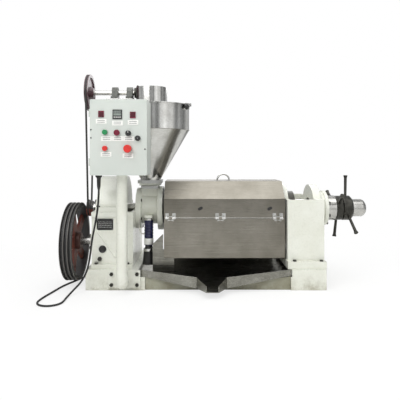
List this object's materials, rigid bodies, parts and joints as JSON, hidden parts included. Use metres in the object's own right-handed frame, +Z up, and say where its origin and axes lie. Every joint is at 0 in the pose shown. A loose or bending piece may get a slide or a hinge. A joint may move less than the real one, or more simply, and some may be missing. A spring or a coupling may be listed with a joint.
{
  "type": "screw oil press",
  "caption": "Motor-ready screw press for oil seeds: gear case, hopper with geared feeder, caged worm under a folded hood, adjusting head and control box.",
  "frame": {"origin": "centre of the underside of the bed", "axes": "+X along the main shaft towards the adjusting head, +Y away from the operator, +Z up"},
  "size_m": [1.8834, 1.0532, 1.269],
  "materials": {
    "white_enamel": "gloss enamel on cast iron and steel",
    "box_paint": "satin powder coat",
    "maroon_paint": "satin paint",
    "pulley_paint": "black paint, rust-brown spokes",
    "stainless": "brushed stainless sheet",
    "polished_steel": "polished shaft steel",
    "gear_steel": "machined steel",
    "dark_steel": "blackened steel",
    "cast_grey": "grey cast iron",
    "chrome_parts": "bright plating",
    "belt_rubber": "V-belt rubber",
    "cord_rubber": "black cable sheath",
    "clear_window": "sight glass",
    "green_plastic": "gloss",
    "red_plastic": "gloss",
    "dark_red_plastic": "gloss",
    "black_plastic": "matte",
    "navy_plastic": "gloss"
  },
  "bodies": {
    "root": {"base_frame": "white_enamel", "bearing_bridge": "stainless", "bearing_caps": "white_enamel", "cable_gland": "black_plastic", "cage_bars": "gear_steel", "cage_rings": "dark_steel", "cake_ring": "dark_steel", "control_box": "box_paint", "control_post": "white_enamel", "cord_coil": "cord_rubber", "cord_plug": "black_plastic", "end_cover": "white_enamel", "end_stand": "white_enamel", "feeder_belt": "belt_rubber", "fixing_bolts": "dark_steel", "gear_guard": "stainless", "gearbox_lower": "white_enamel", "gearbox_upper": "white_enamel", "guide_collar": "polished_steel", "heater_body": "navy_plastic", "heater_cap": "chrome_parts", "heater_skirt": "black_plastic", "hood_rear_brackets": "stainless", "hopper": "stainless", "oil_drain_plug": "dark_steel", "oil_sight_glass": "clear_window", "oil_tray": "stainless", "pillow_blocks": "cast_grey", "supply_cord": "cord_rubber", "throat": "white_enamel", "thrust_bearing": "gear_steel"},
    "main_shaft": {"worm_shaft": "polished_steel", "press_worm": "gear_steel", "main_gear": "gear_steel", "feeder_sheave": "pulley_paint"},
    "input_line": {"input_shaft": "polished_steel", "input_pinion": "gear_steel", "drive_pulley": "pulley_paint"},
    "feeder_line": {"feeder_shaft": "polished_steel", "feeder_pulley": "maroon_paint", "bevel_pinion": "dark_steel"},
    "auger": {"feed_auger": "stainless", "bevel_gear": "dark_steel"},
    "gate": {"feed_gate": "stainless"},
    "hood": {"hood": "stainless", "hood_handle": "chrome_parts", "hood_front_hinges": "chrome_parts"},
    "hood_flap": {"hood_door": "stainless"},
    "adjuster": {"adjusting_head": "dark_steel"},
    "lock_ring": {"lock_nut": "dark_steel"},
    "door": {"box_door": "box_paint", "temperature_controller": "black_plastic", "panel_meters": "dark_red_plastic", "control_bezels": "chrome_parts"},
    "start": {"start_button": "green_plastic"},
    "run": {"run_button": "dark_red_plastic"},
    "stop": {"stop_button": "red_plastic"},
    "emergency": {"emergency_button": "red_plastic"},
    "selector": {"selector_knob": "black_plastic"},
    "lock": {"door_lock": "black_plastic"}
  },
  "joints": [
    {"name": "main_shaft_spin", "type": "hinge", "parent": "root", "child": "main_shaft", "pos_m": [0, 0, 0.437], "axis": [1, 0, 0], "continuous": true},
    {"name": "input_spin", "type": "hinge", "parent": "root", "child": "input_line", "pos_m": [-0.6, -0.138, 0.25614], "axis": [1, 0, 0], "continuous": true},
    {"name": "feeder_spin", "type": "hinge", "parent": "root", "child": "feeder_line", "pos_m": [-0.56, 0, 1.156], "axis": [1, 0, 0], "continuous": true},
    {"name": "auger_spin", "type": "hinge", "parent": "root", "child": "auger", "pos_m": [-0.34, 0, 0.9], "axis": [0, 0, 1], "continuous": true},
    {"name": "gate_slide", "type": "slide", "parent": "root", "child": "gate", "axis": [0, -1, 0], "range_m": [0, 0.11]},
    {"name": "hood_tilt", "type": "hinge", "parent": "root", "child": "hood", "pos_m": [0.1, 0.207, 0.173], "axis": [-1, 0, 0], "range_deg": [0, 28]},
    {"name": "flap_swing", "type": "hinge", "parent": "hood", "child": "hood_flap", "pos_m": [0.1, -0.207, 0.398], "axis": [-1, 0, 0], "range_deg": [0, 100]},
    {"name": "adjuster_turn", "type": "hinge", "parent": "root", "child": "adjuster", "pos_m": [0.87, 0, 0.437], "axis": [1, 0, 0], "range_deg": [-180, 180]},
    {"name": "lock_nut_turn", "type": "hinge", "parent": "root", "child": "lock_ring", "pos_m": [0.82, 0, 0.437], "axis": [1, 0, 0], "range_deg": [-180, 180]},
    {"name": "door_swing", "type": "hinge", "parent": "root", "child": "door", "pos_m": [-0.6205, -0.44, 0.859], "axis": [0, 0, -1], "range_deg": [0, 110]},
    {"name": "start_press", "type": "slide", "parent": "door", "child": "start", "axis": [0, 1, 0], "range_m": [0, 0.004], "stiffness_N_per_m": 400},
    {"name": "run_press", "type": "slide", "parent": "door", "child": "run", "axis": [0, 1, 0], "range_m": [0, 0.004], "stiffness_N_per_m": 400},
    {"name": "stop_press", "type": "slide", "parent": "door", "child": "stop", "axis": [0, 1, 0], "range_m": [0, 0.004], "stiffness_N_per_m": 400},
    {"name": "emergency_press", "type": "slide", "parent": "door", "child": "emergency", "axis": [0, 1, 0], "range_m": [0, 0.004]},
    {"name": "selector_turn", "type": "hinge", "parent": "door", "child": "selector", "pos_m": [-0.412, -0.46, 0.88], "axis": [0, -1, 0], "range_deg": [-45, 45]},
    {"name": "lock_turn", "type": "hinge", "parent": "door", "child": "lock", "pos_m": [-0.363, -0.46, 0.854], "axis": [0, -1, 0], "range_deg": [0, 90]}
  ],
  "couplings": [
    {"joint": "input_spin", "follows": "main_shaft_spin", "ratio": -3.3333},
    {"joint": "feeder_spin", "follows": "main_shaft_spin", "ratio": 0.46018},
    {"joint": "auger_spin", "follows": "main_shaft_spin", "ratio": -0.24362}
  ]
}
